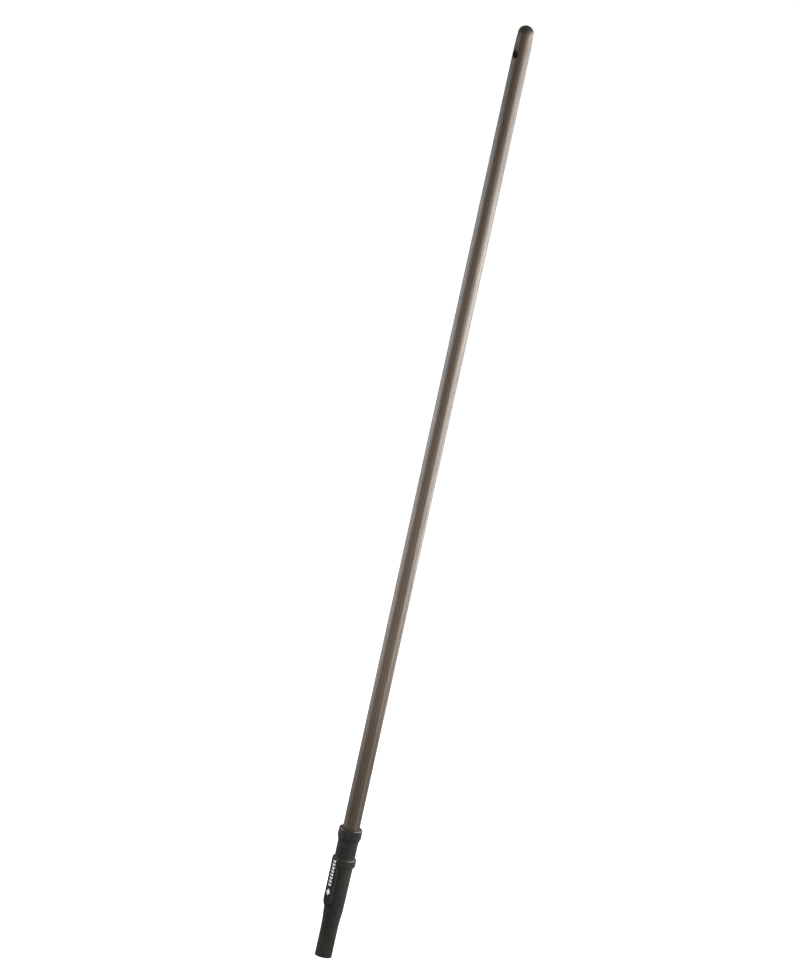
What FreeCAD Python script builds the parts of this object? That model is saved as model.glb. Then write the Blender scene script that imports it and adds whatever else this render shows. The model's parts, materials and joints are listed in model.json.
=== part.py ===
import FreeCAD, Part
import math
import os

# A fixed-length wooden pole with a push-in plug for a roller or brush head.
# Millimetres. +Z runs up the pole. The origin is the centre of the plug's end face.
# The label pad and the front mouth of the hanging hole face -Y, and the retaining screw faces +Y.

# The wooden shaft
POLE_LENGTH = 1500.0  # plug's end face to the crown of the dome
SHAFT_RADIUS = 13.0
DOME_HEIGHT = 10.5
DOME_RADIUS = 11.9  # where the dome starts, after the slight taper below it
HEAD_TAPER_LENGTH = 40.0
HANGING_HOLE_RADIUS = 5.0
HANGING_HOLE_BELOW_TOP = 45.0
HANGING_HOLE_SINK = 1.5  # depth of the countersink at each mouth
SPIGOT_RADIUS = 9.5  # the shaft's lower end is turned down to this inside the plug
SPIGOT_TOP = 88.0
SPIGOT_FOOT = 8.0
WOOD_CHAMFER = 1.5

# The plastic sleeve that covers the shaft's lower end and carries the plug
TAIL_RADIUS = 13.2
TAIL_END_ROUND = 0.8
SHOULDER_CORNER = 56.0  # where the plug's wall would meet the shoulder if it weren't rounded
SHOULDER_ROUND = 250.0
BODY_FOOT = 75.0
BODY_FOOT_RADIUS = 15.1
BODY_FOOT_ROUND = 1.0
BODY_TOP_RADIUS = 15.9
RING_BOTTOM = 147.0
RING_TOP = 160.2
RING_RADIUS = 18.6
RING_BOTTOM_ROUND = 1.8
RING_TOP_ROUND = 2.6
RING_SEAT_RADIUS = 15.3
NECK_RADIUS = 15.8
COLLAR_FLANK_FOOT = 186.5
COLLAR_FLANK_TOP = 194.0
COLLAR_RADIUS = 18.3
SLEEVE_TOP = 208.5
COLLAR_TOP_ROUND = 3.5
COLLAR_BOTTOM_ROUND = 2.0
MOUTH_CHAMFER = 0.6
GLUE_GAP = 0.05

# The label pad on the ring, and what lies in its pocket
PAD_FACE = 18.7  # distance of the pad's flat face from the axis
PAD_HALF_WIDTH = 7.6
PAD_TIP = 81.0
PAD_TIP_LENGTH = 12.0  # the half ellipse that ends the pad
PAD_EDGE_ROUND = 0.9
POCKET_RIM = 1.5
POCKET_DEPTH = 0.7
PLATE_THICKNESS = 0.55
PLATE_GAP = 0.1
MARK_THICKNESS = 0.1
MARK_COUNT = 8
MARKS_TOP = 156.5
MARK_PITCH = 5.4
MARK_HEIGHT = 3.2  # along the pole
MARK_HALF_WIDTH = 2.9
MARK_DIP = 1.8  # how far a chevron's point hangs below its ends
LOZENGE_CENTRE = 104.5
LOZENGE_HALF_HEIGHT = 5.5
LOZENGE_HALF_WIDTH = 4.2

# The wood screw that holds the sleeve on the shaft
SCREW_HEIGHT = 172.0
SCREW_RADIUS = 2.0
SCREW_HEAD_RADIUS = 4.0
SCREW_HEAD_FACE = 15.0  # distance of the head's flat face from the axis
SCREW_HEAD_RIM = 0.4
SCREW_LENGTH = 19.0
SCREW_POINT_LENGTH = 4.0
SCREW_SEAT_GAP = 0.15
RECESS_LENGTH = 4.4
RECESS_WIDTH = 0.9
RECESS_DEPTH = 1.2

# Worked out from the above
HANGING_HOLE_HEIGHT = POLE_LENGTH - HANGING_HOLE_BELOW_TOP
SLEEVE_BORE = SHAFT_RADIUS + GLUE_GAP
SPIGOT_BORE = SPIGOT_RADIUS + GLUE_GAP
COLLAR_FLANK_ROUND = COLLAR_FLANK_TOP - COLLAR_FLANK_FOOT

TOLERANCE = 1e-6  # points closer than this are one point

ORIGIN = FreeCAD.Vector(0, 0, 0)
UP = FreeCAD.Vector(0, 0, 1)
FRONT = FreeCAD.Vector(0, -1, 0)
BACK = FreeCAD.Vector(0, 1, 0)


def in_section(radius, height):
    """A point of the half section that is turned about the axis."""
    return FreeCAD.Vector(radius, 0, height)


def corner_arc(before, corner, after, rounding):
    """The arc that rounds a corner, tangent to its two sides, and its two ends."""
    to_before = (before - corner).normalize()
    to_after = (after - corner).normalize()
    half_angle = to_before.getAngle(to_after) / 2
    setback = rounding / math.tan(half_angle)
    bisector = (to_before + to_after).normalize()
    start = corner + to_before * setback
    end = corner + to_after * setback
    middle = corner + bisector * (rounding / math.sin(half_angle) - rounding)
    return Part.Arc(start, middle, end).toShape(), start, end


def rounded_outline(corners):
    """A closed wire through (point, rounding) corners, each rounded where its rounding isn't 0."""
    points = [point for point, rounding in corners]
    pieces = []
    for i, (point, rounding) in enumerate(corners):
        if rounding:
            after = points[(i + 1) % len(points)]
            pieces.append(corner_arc(points[i - 1], point, after, rounding))
        else:
            pieces.append((None, point, point))
    edges = []
    for (arc, start, end), (_, next_start, _) in zip(pieces, pieces[1:] + pieces[:1]):
        if arc:
            edges.append(arc)
        if not end.isEqual(next_start, TOLERANCE):
            edges.append(Part.LineSegment(end, next_start).toShape())
    return Part.Wire(edges)


def turned(corners):
    """The solid of revolution whose half section has these (radius, height, rounding) corners."""
    outline = rounded_outline([(in_section(r, z), rounding) for r, z, rounding in corners])
    return Part.Face(outline).revolve(ORIGIN, UP, 360)


def countersink(mouth, outwards, hole_radius, depth):
    """A 45 degree cutter that starts this depth inside the mouth and ends as far outside it."""
    start = mouth - outwards * depth
    return Part.makeCone(hole_radius, hole_radius + 2 * depth, 2 * depth, start, outwards)


def head_profile():
    """Edges from the shaft's cylinder over the slight taper and the dome to the crown."""
    dome_foot = POLE_LENGTH - DOME_HEIGHT
    taper_foot = dome_foot - HEAD_TAPER_LENGTH
    narrowing = SHAFT_RADIUS - DOME_RADIUS
    taper_curve = (HEAD_TAPER_LENGTH**2 + narrowing**2) / (2 * narrowing)
    half_turn = math.asin(HEAD_TAPER_LENGTH / taper_curve) / 2
    taper_middle = in_section(
        SHAFT_RADIUS - taper_curve * (1 - math.cos(half_turn)),
        taper_foot + taper_curve * math.sin(half_turn),
    )
    foot = in_section(SHAFT_RADIUS, taper_foot)
    shoulder = in_section(DOME_RADIUS, dome_foot)
    crown = in_section(0, POLE_LENGTH)
    taper = Part.Arc(foot, taper_middle, shoulder).toShape()
    quarter = 4 / 3 * math.tan(math.pi / 8)  # handle length of a curve close to a quarter ellipse
    lean = in_section(-math.sin(2 * half_turn), math.cos(2 * half_turn))
    dome = Part.BezierCurve()
    dome.setPoles([
        shoulder,
        shoulder + lean * (quarter * DOME_HEIGHT),
        crown + in_section(quarter * DOME_RADIUS, 0),
        crown,
    ])
    return [taper, dome.toShape()], foot, crown


def screw_body(gap):
    """The screw without its driver recess, grown by a gap all round."""
    face = SCREW_HEAD_FACE
    head_depth = SCREW_HEAD_RADIUS - SCREW_RADIUS
    point_start = face - SCREW_LENGTH + SCREW_POINT_LENGTH
    corners = [
        (0, face),
        (SCREW_HEAD_RADIUS + gap, face),
        (SCREW_HEAD_RADIUS + gap, face - SCREW_HEAD_RIM),
        (SCREW_RADIUS + gap, face - SCREW_HEAD_RIM - head_depth),
        (SCREW_RADIUS + gap, point_start),
        (0, face - SCREW_LENGTH),
    ]
    outline = [FreeCAD.Vector(r, y, SCREW_HEIGHT) for r, y in corners]
    face_of_section = Part.Face(Part.makePolygon(outline + outline[:1]))
    return face_of_section.revolve(FreeCAD.Vector(0, 0, SCREW_HEIGHT), BACK, 360)


def wooden_shaft():
    head, head_foot, crown = head_profile()
    below = [
        in_section(0, SPIGOT_FOOT),
        in_section(SPIGOT_RADIUS - WOOD_CHAMFER, SPIGOT_FOOT),
        in_section(SPIGOT_RADIUS, SPIGOT_FOOT + WOOD_CHAMFER),
        in_section(SPIGOT_RADIUS, SPIGOT_TOP),
        in_section(SHAFT_RADIUS, SPIGOT_TOP + SHAFT_RADIUS - SPIGOT_RADIUS),
        head_foot,
    ]
    lower_edges = [Part.LineSegment(a, b).toShape() for a, b in zip(below, below[1:])]
    axis_edge = Part.LineSegment(crown, below[0]).toShape()
    section = Part.Face(Part.Wire(lower_edges + head + [axis_edge]))
    shaft = section.revolve(ORIGIN, UP, 360)
    front_mouth = FreeCAD.Vector(0, -SHAFT_RADIUS, HANGING_HOLE_HEIGHT)
    back_mouth = FreeCAD.Vector(0, SHAFT_RADIUS, HANGING_HOLE_HEIGHT)
    hole = Part.makeCylinder(HANGING_HOLE_RADIUS, 2 * SHAFT_RADIUS, front_mouth, BACK)
    front_sink = countersink(front_mouth, FRONT, HANGING_HOLE_RADIUS, HANGING_HOLE_SINK)
    back_sink = countersink(back_mouth, BACK, HANGING_HOLE_RADIUS, HANGING_HOLE_SINK)
    return shaft.cut([hole, front_sink, back_sink, screw_body(0)])


def sleeve_skin():
    """The outside of the sleeve as a full solid: plug, shoulder, body, ring seat, neck and collar."""
    return turned([
        (0, 0, 0),
        (TAIL_RADIUS, 0, TAIL_END_ROUND),
        (TAIL_RADIUS, SHOULDER_CORNER, SHOULDER_ROUND),
        (BODY_FOOT_RADIUS, BODY_FOOT, BODY_FOOT_ROUND),
        (BODY_TOP_RADIUS, RING_BOTTOM, 0),
        (RING_SEAT_RADIUS, RING_BOTTOM, 0),
        (RING_SEAT_RADIUS, RING_TOP, 0),
        (NECK_RADIUS, RING_TOP, 0),
        (NECK_RADIUS, COLLAR_FLANK_FOOT, COLLAR_FLANK_ROUND),
        (COLLAR_RADIUS, COLLAR_FLANK_TOP, COLLAR_BOTTOM_ROUND),
        (COLLAR_RADIUS, SLEEVE_TOP, COLLAR_TOP_ROUND),
        (0, SLEEVE_TOP, 0),
    ])


def sleeve_hollow():
    """The room inside the sleeve for the shaft and its spigot, flared at the mouth."""
    cone_top = SPIGOT_TOP + SHAFT_RADIUS - SPIGOT_RADIUS
    return turned([
        (0, SPIGOT_FOOT, 0),
        (SPIGOT_BORE, SPIGOT_FOOT, 0),
        (SPIGOT_BORE, SPIGOT_TOP, 0),
        (SLEEVE_BORE, cone_top, 0),
        (SLEEVE_BORE, SLEEVE_TOP - MOUTH_CHAMFER, 0),
        (SLEEVE_BORE + MOUTH_CHAMFER, SLEEVE_TOP, 0),
        (0, SLEEVE_TOP, 0),
    ])


def adapter_sleeve():
    seat = screw_body(SCREW_SEAT_GAP)
    head_clearance = SCREW_HEAD_RADIUS + SCREW_SEAT_GAP
    way_in = Part.makeCylinder(
        head_clearance,
        COLLAR_RADIUS - SCREW_HEAD_FACE,
        FreeCAD.Vector(0, SCREW_HEAD_FACE, SCREW_HEIGHT),
        BACK,
    )
    return sleeve_skin().cut([sleeve_hollow(), seat, way_in])


def tongue(half_width, top, tip, tip_length, face, thickness):
    """A flat slab facing -Y with a square top and half an ellipse for its lower end."""
    y = -face + thickness
    tip_start = tip + tip_length
    top_left = FreeCAD.Vector(-half_width, y, top)
    top_right = FreeCAD.Vector(half_width, y, top)
    low_right = FreeCAD.Vector(half_width, y, tip_start)
    low_left = FreeCAD.Vector(-half_width, y, tip_start)
    lowest = FreeCAD.Vector(0, y, tip)
    ellipse = Part.Ellipse(lowest, low_right, FreeCAD.Vector(0, y, tip_start))
    outline = Part.Wire([
        Part.LineSegment(top_left, top_right).toShape(),
        Part.LineSegment(top_right, low_right).toShape(),
        Part.ArcOfEllipse(ellipse, -math.pi / 2, math.pi / 2).toShape(),
        Part.LineSegment(low_left, top_left).toShape(),
    ])
    return Part.Face(outline).extrude(FRONT * thickness)


def edges_in_plane(solid, y):
    return [e for e in solid.Edges if all(abs(v.Y - y) < TOLERANCE for v in e.Vertexes)]


def label_slab(gap, face, thickness):
    """The pocket's outline in the pad, shrunk by a gap all round."""
    rim = POCKET_RIM + gap
    return tongue(
        PAD_HALF_WIDTH - rim, RING_TOP - rim, PAD_TIP + rim, PAD_TIP_LENGTH - rim, face, thickness
    )


def label_ring():
    ring = turned([
        (0, RING_BOTTOM, 0),
        (RING_RADIUS, RING_BOTTOM, RING_BOTTOM_ROUND),
        (RING_RADIUS, RING_TOP, RING_TOP_ROUND),
        (0, RING_TOP, 0),
    ])
    pad = tongue(PAD_HALF_WIDTH, RING_TOP, PAD_TIP, PAD_TIP_LENGTH, PAD_FACE, PAD_FACE)
    pad = pad.makeFillet(PAD_EDGE_ROUND, edges_in_plane(pad, -PAD_FACE))
    pocket = label_slab(0, PAD_FACE, POCKET_DEPTH)
    return ring.fuse(pad).cut([sleeve_skin(), pocket]).removeSplitter()


def plate_face():
    return PAD_FACE - POCKET_DEPTH + PLATE_THICKNESS


def label_plate():
    return label_slab(PLATE_GAP, plate_face(), PLATE_THICKNESS)


def flat_mark(points):
    """A thin raised mark on the label plate from its (x, z) outline."""
    outline = [FreeCAD.Vector(x, -plate_face(), z) for x, z in points]
    return Part.Face(Part.makePolygon(outline + outline[:1])).extrude(FRONT * MARK_THICKNESS)


def chevron(top):
    bottom = top - MARK_HEIGHT
    return flat_mark([
        (-MARK_HALF_WIDTH, top),
        (-MARK_HALF_WIDTH, bottom),
        (0, bottom - MARK_DIP),
        (MARK_HALF_WIDTH, bottom),
        (MARK_HALF_WIDTH, top),
        (0, top - MARK_DIP),
    ])


def lozenge():
    return flat_mark([
        (0, LOZENGE_CENTRE - LOZENGE_HALF_HEIGHT),
        (LOZENGE_HALF_WIDTH, LOZENGE_CENTRE),
        (0, LOZENGE_CENTRE + LOZENGE_HALF_HEIGHT),
        (-LOZENGE_HALF_WIDTH, LOZENGE_CENTRE),
    ])


def label_marks():
    """A column of plain chevrons that point down to the plug, and a lozenge below them."""
    chevrons = [chevron(MARKS_TOP - i * MARK_PITCH) for i in range(MARK_COUNT)]
    return Part.makeCompound(chevrons + [lozenge()])


def retaining_screw():
    """A countersunk wood screw with a cross recess. Its thread is left out."""
    recess_y = SCREW_HEAD_FACE - RECESS_DEPTH
    half_length = RECESS_LENGTH / 2
    half_width = RECESS_WIDTH / 2
    upright = Part.makeBox(
        RECESS_WIDTH,
        RECESS_DEPTH,
        RECESS_LENGTH,
        FreeCAD.Vector(-half_width, recess_y, SCREW_HEIGHT - half_length),
    )
    level = Part.makeBox(
        RECESS_LENGTH,
        RECESS_DEPTH,
        RECESS_WIDTH,
        FreeCAD.Vector(-half_length, recess_y, SCREW_HEIGHT - half_width),
    )
    return screw_body(0).cut([upright, level])


PARTS = {
    "wooden_shaft": wooden_shaft,
    "adapter_sleeve": adapter_sleeve,
    "label_ring": label_ring,
    "label_plate": label_plate,
    "label_marks": label_marks,
    "retaining_screw": retaining_screw,
}

os.makedirs("parts", exist_ok=True)
for node, make in PARTS.items():
    shape = make()
    print(node, shape.isValid(), len(shape.Solids), round(shape.Volume, 1))
    shape.exportStep("parts/" + node + ".step")
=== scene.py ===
import json
import math

import bpy
from mathutils import Matrix, Vector


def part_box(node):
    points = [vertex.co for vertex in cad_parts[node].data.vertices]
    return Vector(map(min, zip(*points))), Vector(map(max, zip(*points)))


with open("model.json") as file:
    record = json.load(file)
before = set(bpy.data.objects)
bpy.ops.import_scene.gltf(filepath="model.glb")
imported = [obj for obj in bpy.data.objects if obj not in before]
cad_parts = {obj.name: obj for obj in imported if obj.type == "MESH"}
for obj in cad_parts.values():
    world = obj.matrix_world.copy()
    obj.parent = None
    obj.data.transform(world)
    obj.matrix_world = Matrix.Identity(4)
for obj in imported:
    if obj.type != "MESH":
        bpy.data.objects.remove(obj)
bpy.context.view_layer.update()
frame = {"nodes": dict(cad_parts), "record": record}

# The looks of a wooden pole with a black plug-in sleeve. Metres, in the CAD frame.
MM = 0.001
MOUNTS = {mount["name"]: mount for mount in frame["record"]["mounts"]}

# The shaft, and the hanging hole through its top
POLE_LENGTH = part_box("wooden_shaft")[1].z
DOME_HEIGHT = 10.5 * MM
HOLE_HEIGHT = MOUNTS["hanging_hole"]["pos_m"][2]
HOLE_RADIUS = MOUNTS["hanging_hole"]["dims"]["r_mm"] * MM

# The tree's growth rings: the pith lies outside the pole, and the rings wander along it
PITH_X = -54 * MM
PITH_Y = -26 * MM
PITH_WANDER = 9 * MM
RING_WIDTH = 3.6 * MM

# The rounded edges that go round the black sleeve, and how far from each one the wear and its
# painted highlight reach
PLUG_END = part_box("adapter_sleeve")[0].z
RING_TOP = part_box("label_ring")[1].z
COLLAR_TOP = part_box("adapter_sleeve")[1].z
EDGE_WEAR_AND_HIGHLIGHT = 0.8 * MM

# The head of the retaining screw, which faces +Y
SCREW_HEIGHT = (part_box("retaining_screw")[0].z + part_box("retaining_screw")[1].z) / 2
SCREW_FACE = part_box("retaining_screw")[1].y
TURNING_PITCH = 0.3 * MM

# Screen colours of the wood and its stain
LATE_WOOD = "6b5f52"
EARLY_WOOD = "362d26"
FIBRES = "4b3b2e"
WARM_CLOUDS = "735640"
PORES = "1d1713"
# The deep stain of the end grain, also used as painted shade towards the pole's ends and in the
# hanging hole
STAIN_AND_SHADE = "332a23"

# Screen colours of the plastics (dark, light, and the tone of scuff marks and of the painted
# highlight on worn edges), the print and the zinc (clean, dull)
SLEEVE_TONES = ("2a2826", "32302c", "4a4843")
LABEL_TONES = ("1c1c1b", "232322", "3a3a38")
PRINT_TONES = ("eeeeec", "dcdcd8")
ZINC_TONES = ("c9c8c2", "96948c")

# What lacquer and plastic reflect
REFRACTION = 1.5
PLASTIC_SPECULAR = 0.32

# The camera's place round the pole, and what it takes in
VIEW_AZIMUTH = 46.0  # degrees from -Y, the label's side
VIEW_ELEVATION = 15.5
LEAN = 12.38  # how far the pole leans to the right in the frame, degrees
VIEW_HEIGHT = 1.488
LOOK_RIGHT = -0.0376  # from the middle of the pole to the middle of the frame
LOOK_UP = 0.0044
LENS = 1000.0  # millimetres: a long lens from far away, with nearly no perspective
SENSOR = 36.0

# The white surroundings: how bright the camera sees them, and how much they light the object
SKY_SHOWN = 1.05
SKY_LIGHT = 0.27
FLOOR_HALF = 9.0
FLOOR_GLOW = 0.95
FLOOR_GREY = 0.4
FLOOR_ROUGHNESS = 0.9
FLOOR_LIT_GREY = 0.15


# ---------------------------------------------------------------- camera, floor and lights


def direction(azimuth, elevation):
    """Unit vector from the pole to a viewpoint; azimuth 0 is in front, at -Y."""
    a = math.radians(azimuth)
    e = math.radians(elevation)
    return Vector((math.sin(a) * math.cos(e), -math.cos(a) * math.cos(e), math.sin(e)))


def make_camera():
    back = direction(VIEW_AZIMUTH, VIEW_ELEVATION)
    level_right = direction(VIEW_AZIMUTH + 90, 0)
    level_up = back.cross(level_right)
    lean = math.radians(LEAN)
    right = math.cos(lean) * level_right + math.sin(lean) * level_up
    up = -math.sin(lean) * level_right + math.cos(lean) * level_up
    distance = LENS / SENSOR * VIEW_HEIGHT
    pole_middle = Vector((0, 0, POLE_LENGTH / 2))
    target = pole_middle + LOOK_RIGHT * right + LOOK_UP * up
    data = bpy.data.cameras.new("camera")
    data.lens = LENS
    data.sensor_width = SENSOR
    data.clip_start = distance * 0.1
    data.clip_end = distance * 2
    camera = bpy.data.objects.new("camera", data)
    axes = Matrix((right, up, back)).transposed().to_4x4()
    camera.matrix_world = Matrix.Translation(target + back * distance) @ axes
    bpy.context.scene.collection.objects.link(camera)
    bpy.context.scene.camera = camera


def make_softbox(name, azimuth, elevation, distance, width, height, middle, radiance):
    """A rectangular light that faces the pole's axis at the height called middle."""
    away = direction(azimuth, elevation)
    data = bpy.data.lights.new(name, "AREA")
    data.shape = "RECTANGLE"
    data.size = width
    data.size_y = height
    data.energy = radiance * math.pi * width * height
    lamp = bpy.data.objects.new(name, data)
    lamp.location = Vector((0, 0, middle)) + away * distance
    lamp.rotation_euler = away.to_track_quat("Z", "Y").to_euler()
    lamp.visible_camera = False
    bpy.context.scene.collection.objects.link(lamp)


def make_lights():
    """A tall softbox on each side, a weak one overhead and a narrow strip beside the camera."""
    make_softbox(
        "softbox_right", azimuth=VIEW_AZIMUTH + 89, elevation=0, distance=1.0,
        width=2.1, height=1.3, middle=0.90, radiance=6.15,
    )
    make_softbox(
        "softbox_left", azimuth=VIEW_AZIMUTH - 94, elevation=0, distance=1.4,
        width=2.0, height=0.96, middle=0.50, radiance=4.3,
    )
    make_softbox(
        "softbox_overhead", azimuth=VIEW_AZIMUTH + 75, elevation=50, distance=2.0,
        width=1.2, height=1.2, middle=0.2, radiance=1.3,
    )
    make_softbox(
        "softbox_front", azimuth=VIEW_AZIMUTH - 18, elevation=0, distance=1.3,
        width=0.2, height=0.5, middle=0.27, radiance=5.2,
    )


def white_to_the_eye(tree, shown, lit):
    """A shader that the camera sees as shown, and that lights the object as lit."""
    path = tree.nodes.new("ShaderNodeLightPath")
    mix = tree.nodes.new("ShaderNodeMixShader")
    tree.links.new(path.outputs["Is Camera Ray"], mix.inputs[0])
    tree.links.new(lit, mix.inputs[1])
    tree.links.new(shown, mix.inputs[2])
    return mix.outputs[0]


def make_world():
    world = bpy.data.worlds.new("studio")
    world.use_nodes = True
    tree = world.node_tree
    tree.nodes.clear()
    shown = tree.nodes.new("ShaderNodeBackground")
    shown.inputs["Color"].default_value = (1, 1, 1, 1)
    shown.inputs["Strength"].default_value = SKY_SHOWN
    lit = tree.nodes.new("ShaderNodeBackground")
    lit.inputs["Strength"].default_value = SKY_LIGHT
    output = tree.nodes.new("ShaderNodeOutputWorld")
    surface = white_to_the_eye(tree, shown.outputs[0], lit.outputs[0])
    tree.links.new(surface, output.inputs["Surface"])
    bpy.context.scene.world = world


def make_floor():
    """A wide pale floor, bright enough to stay white to its edges."""
    half = FLOOR_HALF
    mesh = bpy.data.meshes.new("floor")
    corners = [(-half, -half, 0), (half, -half, 0), (half, half, 0), (-half, half, 0)]
    mesh.from_pydata(corners, [], [(0, 1, 2, 3)])
    floor = bpy.data.objects.new("floor", mesh)
    bpy.context.scene.collection.objects.link(floor)
    material = bpy.data.materials.new("floor")
    material.use_nodes = True
    tree = material.node_tree
    shown = tree.nodes["Principled BSDF"]
    shown.inputs["Base Color"].default_value = (FLOOR_GREY, FLOOR_GREY, FLOOR_GREY, 1)
    shown.inputs["Roughness"].default_value = FLOOR_ROUGHNESS
    shown.inputs["Emission Color"].default_value = (1, 1, 1, 1)
    shown.inputs["Emission Strength"].default_value = FLOOR_GLOW
    lit = tree.nodes.new("ShaderNodeBsdfDiffuse")
    lit.inputs["Color"].default_value = (FLOOR_LIT_GREY, FLOOR_LIT_GREY, FLOOR_LIT_GREY, 1)
    surface = white_to_the_eye(tree, shown.outputs[0], lit.outputs[0])
    tree.links.new(surface, tree.nodes["Material Output"].inputs["Surface"])
    mesh.materials.append(material)


# ---------------------------------------------------------------- material helper


def linear(part):
    """One part of a screen colour, from 0 to 1, as linear light."""
    return part / 12.92 if part <= 0.04045 else ((part + 0.055) / 1.055) ** 2.4


def tone(hex_code):
    """A shader colour from a six-digit screen colour."""
    return [linear(byte / 255) for byte in bytes.fromhex(hex_code)] + [1]


class Look:
    """A material in the making. Each method adds nodes and gives back their output."""

    def __init__(self, name):
        self.material = bpy.data.materials.new(name)
        self.material.use_nodes = True
        self.nodes = self.material.node_tree.nodes
        self.links = self.material.node_tree.links
        self.inputs = self.nodes["Principled BSDF"].inputs

    def feed(self, socket, value):
        """Links an output into a socket, or sets a plain value on it."""
        if isinstance(value, bpy.types.NodeSocket):
            self.links.new(value, socket)
        else:
            socket.default_value = value

    def place(self):
        """The surface's own coordinates in metres."""
        return self.nodes.new("ShaderNodeTexCoord").outputs["Object"]

    def height_and_sides(self):
        """The surface's z, x and y in metres."""
        split = self.nodes.new("ShaderNodeSeparateXYZ")
        self.links.new(self.place(), split.inputs[0])
        return split.outputs["Z"], split.outputs["X"], split.outputs["Y"]

    def noise(self, cells, detail=3.0, roughness=0.5, shift=(0, 0, 0)):
        """Noise from 0 to 1 with this many cells per metre along x, y and z."""
        mapping = self.nodes.new("ShaderNodeMapping")
        mapping.inputs["Location"].default_value = shift
        mapping.inputs["Scale"].default_value = cells
        self.links.new(self.place(), mapping.inputs["Vector"])
        texture = self.nodes.new("ShaderNodeTexNoise")
        texture.inputs["Scale"].default_value = 1.0
        texture.inputs["Detail"].default_value = detail
        texture.inputs["Roughness"].default_value = roughness
        self.links.new(mapping.outputs[0], texture.inputs["Vector"])
        return texture.outputs["Fac"]

    def maths(self, operation, a, b=0.0):
        node = self.nodes.new("ShaderNodeMath")
        node.operation = operation
        self.feed(node.inputs[0], a)
        self.feed(node.inputs[1], b)
        return node.outputs[0]

    def times(self, a, b):
        return self.maths("MULTIPLY", a, b)

    def plus(self, a, b):
        return self.maths("ADD", a, b)

    def larger(self, a, b):
        return self.maths("MAXIMUM", a, b)

    def distance(self, a, b):
        """How far a point that is a and b off a line is from it."""
        return self.maths("SQRT", self.plus(self.times(a, a), self.times(b, b)))

    def spread(self, value, low, high, to_low=0.0, to_high=1.0):
        """Maps a value smoothly from one range to another and stops at its ends."""
        node = self.nodes.new("ShaderNodeMapRange")
        node.interpolation_type = "SMOOTHSTEP"
        node.inputs["From Min"].default_value = low
        node.inputs["From Max"].default_value = high
        node.inputs["To Min"].default_value = to_low
        node.inputs["To Max"].default_value = to_high
        self.feed(node.inputs["Value"], value)
        return node.outputs["Result"]

    def blended(self, share, first, second):
        """A colour between two colours."""
        node = self.nodes.new("ShaderNodeMix")
        node.data_type = "RGBA"
        self.feed(node.inputs["Factor"], share)
        self.feed(node.inputs["A"], first)
        self.feed(node.inputs["B"], second)
        return node.outputs["Result"]

    def bump(self, height, distance, strength):
        """Relief this many metres deep where the height goes from 0 to 1."""
        node = self.nodes.new("ShaderNodeBump")
        node.inputs["Strength"].default_value = strength
        node.inputs["Distance"].default_value = distance
        self.links.new(height, node.inputs["Height"])
        self.links.new(node.outputs[0], self.inputs["Normal"])

    def finish(self, colour, roughness):
        """Links the colour and the roughness, and gives back the material."""
        self.links.new(colour, self.inputs["Base Color"])
        self.links.new(roughness, self.inputs["Roughness"])
        self.inputs["IOR"].default_value = REFRACTION
        return self.material


# ---------------------------------------------------------------- materials


def early_wood(look, x, y):
    """Where the soft early wood of each growth ring comes to the surface, from 0 to 1."""
    drift = look.times(look.noise(cells=(4, 4, 1.3), detail=2), PITH_WANDER)
    from_pith_x = look.plus(look.plus(x, -PITH_X), drift)
    from_pith_y = look.plus(y, -PITH_Y)
    ring = look.maths("DIVIDE", look.distance(from_pith_x, from_pith_y), RING_WIDTH)
    place_in_ring = look.maths("FRACT", ring)
    start = look.spread(place_in_ring, 0.0, 0.1)
    fade = look.spread(place_in_ring, 0.2, 0.5, to_low=1.0, to_high=0.0)
    return look.times(start, fade)


def end_grain_and_hole_shade(look, x, height):
    """The dome and the edges of the hanging hole, where the cut ends of the fibres show, with
    painted shade in the hole and round its mouth.
    """
    dome_foot = POLE_LENGTH - DOME_HEIGHT
    dome_crown = POLE_LENGTH - 3 * MM
    dome = look.spread(height, dome_foot, dome_crown, to_high=0.25)
    # Painted shade in the hanging hole and round its mouth, over its cut fibres
    stain_and_shade_starts = HOLE_RADIUS + 1 * MM
    stain_and_shade_ends = HOLE_RADIUS + 2 * MM
    from_hole = look.distance(x, look.plus(height, -HOLE_HEIGHT))
    hole = look.spread(from_hole, stain_and_shade_starts, stain_and_shade_ends, to_low=0.7, to_high=0.0)
    return look.larger(dome, hole)


def painted_shade_at_ends(look, height):
    """Painted shade: the wood is a little darker towards both ends of the pole, where less light
    falls.
    """
    towards_top = look.spread(height, 0.75 * POLE_LENGTH, 0.93 * POLE_LENGTH, to_high=0.18)
    towards_foot = look.spread(
        height, 0.15 * POLE_LENGTH, 0.33 * POLE_LENGTH, to_low=0.5, to_high=0.0
    )
    return look.larger(towards_top, towards_foot)


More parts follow.
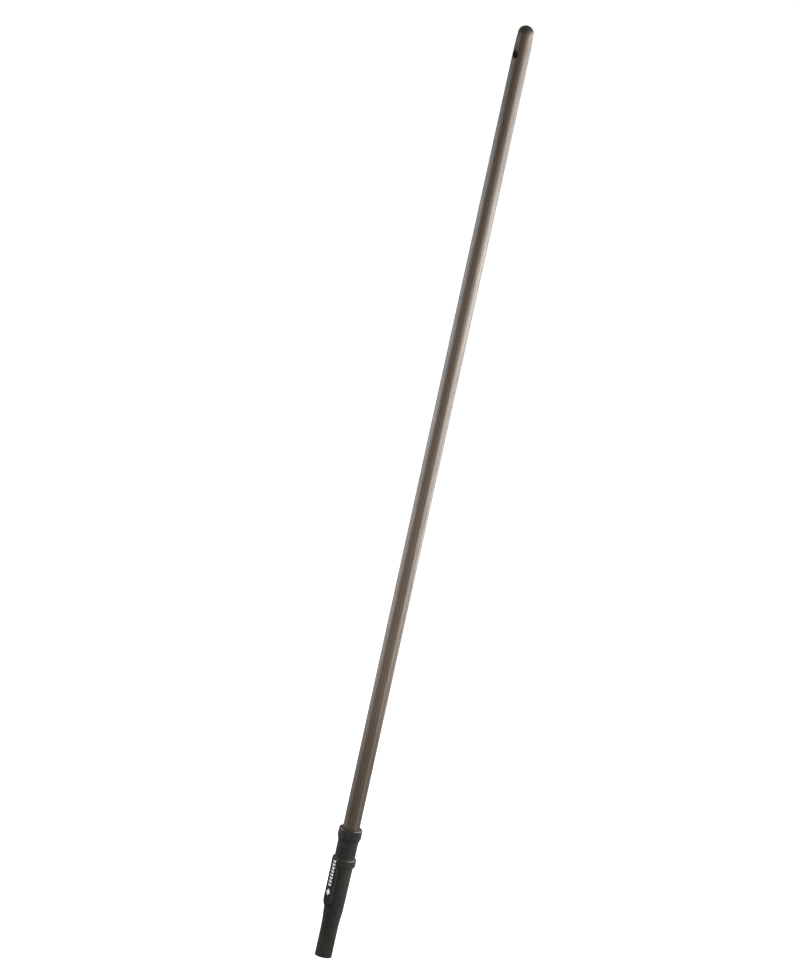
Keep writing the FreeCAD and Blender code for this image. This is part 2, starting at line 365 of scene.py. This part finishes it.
def stained_wood():
    """Dark-stained ash under a satin lacquer: growth rings, open pores, slow changes of tone, and
    painted shade towards the ends and in the hanging hole.
    """
    look = Look("stained_wood")
    height, x, y = look.height_and_sides()
    early = early_wood(look, x, y)

    # Pores: short dark dashes along the grain, dense in the early wood
    dashes = look.spread(look.noise(cells=(3200, 3200, 75), detail=2), 0.55, 0.66)
    pores = look.times(dashes, look.spread(early, 0.0, 1.0, to_low=0.25))
    fibres = look.noise(cells=(600, 600, 5), detail=5, roughness=0.65)
    clouds = look.noise(cells=(22, 22, 3.0), shift=(3, 1, 7))

    colour = look.blended(look.times(early, 0.85), tone(LATE_WOOD), tone(EARLY_WOOD))
    colour = look.blended(look.spread(fibres, 0.3, 0.75, to_high=0.45), colour, tone(FIBRES))
    colour = look.blended(look.spread(clouds, 0.48, 0.75, to_high=0.35), colour, tone(WARM_CLOUDS))
    colour = look.blended(look.times(pores, 0.7), colour, tone(PORES))
    # End grain on the dome and round the hanging hole, with painted shade in the hole
    colour = look.blended(end_grain_and_hole_shade(look, x, height), colour, tone(STAIN_AND_SHADE))
    # Painted shade towards both ends of the pole
    colour = look.blended(painted_shade_at_ends(look, height), colour, tone(STAIN_AND_SHADE))

    gloss = look.noise(cells=(60, 60, 12), detail=4, shift=(5, 2, 1))
    lacquer = look.spread(gloss, 0.3, 0.7, to_low=0.33, to_high=0.44)
    roughness = look.plus(lacquer, look.times(pores, 0.2))
    relief = look.maths("SUBTRACT", look.times(fibres, 0.5), pores)
    look.bump(relief, distance=0.06 * MM, strength=0.6)
    return look.finish(colour, roughness)


def worn_and_highlit_edges(look, heights):
    """Where handling has rubbed the edges at these heights, in patches, from 0 to 1: wear, that
    also paints a highlight along the edges.
    """
    height = look.height_and_sides()[0]
    near = 0.0
    for edge in heights:
        away = look.maths("ABSOLUTE", look.plus(height, -edge))
        at_edge = look.spread(away, EDGE_WEAR_AND_HIGHLIGHT, 2 * EDGE_WEAR_AND_HIGHLIGHT, to_low=1.0, to_high=0.0)
        near = look.larger(near, at_edge)
    rubbed = look.spread(look.noise(cells=(300, 300, 300), detail=4, shift=(2, 7, 4)), 0.4, 0.65)
    return look.times(near, rubbed)


def moulded_plastic(name, tones, smoothest, roughest, grain, relief, edges=()):
    """Black moulded plastic with a fine spark-eroded grain, faint flow marks, fine scuff marks, and
    worn edges lightened as a painted highlight.
    """
    dark, light, scuff_and_highlight_tone = [tone(t) for t in tones]
    look = Look(name)
    flow = look.noise(cells=(45, 45, 18), detail=4)
    scuffs_and_edge_highlights = look.spread(look.noise(cells=(1500, 1500, 420), detail=5, shift=(1, 4, 2)), 0.60, 0.74)
    # The sleeve's worn edges: wear, lightened also as a painted highlight
    scuffs_and_edge_highlights = look.larger(scuffs_and_edge_highlights, worn_and_highlit_edges(look, edges))
    colour = look.blended(look.spread(flow, 0.35, 0.7), dark, light)
    colour = look.blended(look.times(scuffs_and_edge_highlights, 0.25), colour, scuff_and_highlight_tone)
    roughness = look.spread(flow, 0.3, 0.7, to_low=smoothest, to_high=roughest)
    roughness = look.plus(roughness, look.times(scuffs_and_edge_highlights, 0.08))
    look.bump(look.noise(cells=(grain, grain, grain), roughness=0.6), distance=relief, strength=0.5)
    look.inputs["Specular IOR Level"].default_value = PLASTIC_SPECULAR
    return look.finish(colour, roughness)


def printed_white():
    """White print with a faintly uneven cover."""
    full, thin = [tone(t) for t in PRINT_TONES]
    look = Look("label_white")
    cover = look.noise(cells=(700, 700, 700), detail=4)
    colour = look.blended(look.spread(cover, 0.3, 0.7), full, thin)
    look.bump(cover, distance=0.02 * MM, strength=0.4)
    return look.finish(colour, look.spread(cover, 0.3, 0.7, to_low=0.42, to_high=0.58))


def zinc_plate():
    """Zinc-plated steel with faint turning marks, a little dulled by handling."""
    clean, dull = [tone(t) for t in ZINC_TONES]
    look = Look("screw_steel")
    height, x, y = look.height_and_sides()
    cloud = look.noise(cells=(900, 900, 900), detail=4)
    colour = look.blended(look.spread(cloud, 0.35, 0.7), clean, dull)

    # The marks are on the head's face and not in its recess
    from_axis = look.distance(x, look.plus(height, -SCREW_HEIGHT))
    marks = look.maths("SINE", look.times(from_axis, 2 * math.pi / TURNING_PITCH))
    on_face = look.spread(y, SCREW_FACE - 0.4 * MM, SCREW_FACE - 0.1 * MM)
    marks = look.times(marks, on_face)
    look.bump(look.plus(cloud, look.times(marks, 0.15)), distance=0.02 * MM, strength=0.4)
    look.inputs["Metallic"].default_value = 1.0
    return look.finish(colour, look.spread(cloud, 0.3, 0.7, to_low=0.25, to_high=0.45))


def paint(node, material):
    """Gives a CAD node a better material in place of its flat one."""
    mesh = frame["nodes"][node].data
    for i in range(len(mesh.materials)):
        mesh.materials[i] = material


make_camera()
make_lights()
make_world()
make_floor()
sleeve_black = moulded_plastic(
    "black_plastic", SLEEVE_TONES,
    smoothest=0.22, roughest=0.33, grain=2600, relief=0.05 * MM,
    edges=(PLUG_END, RING_TOP, COLLAR_TOP),
)
label_black = moulded_plastic(
    "label_black", LABEL_TONES,
    smoothest=0.25, roughest=0.35, grain=1800, relief=0.02 * MM,
)
paint("wooden_shaft", stained_wood())
paint("adapter_sleeve", sleeve_black)
paint("label_ring", sleeve_black)
paint("label_plate", label_black)
paint("label_marks", printed_white())
paint("retaining_screw", zinc_plate())
bpy.context.scene.view_settings.view_transform = "Standard"
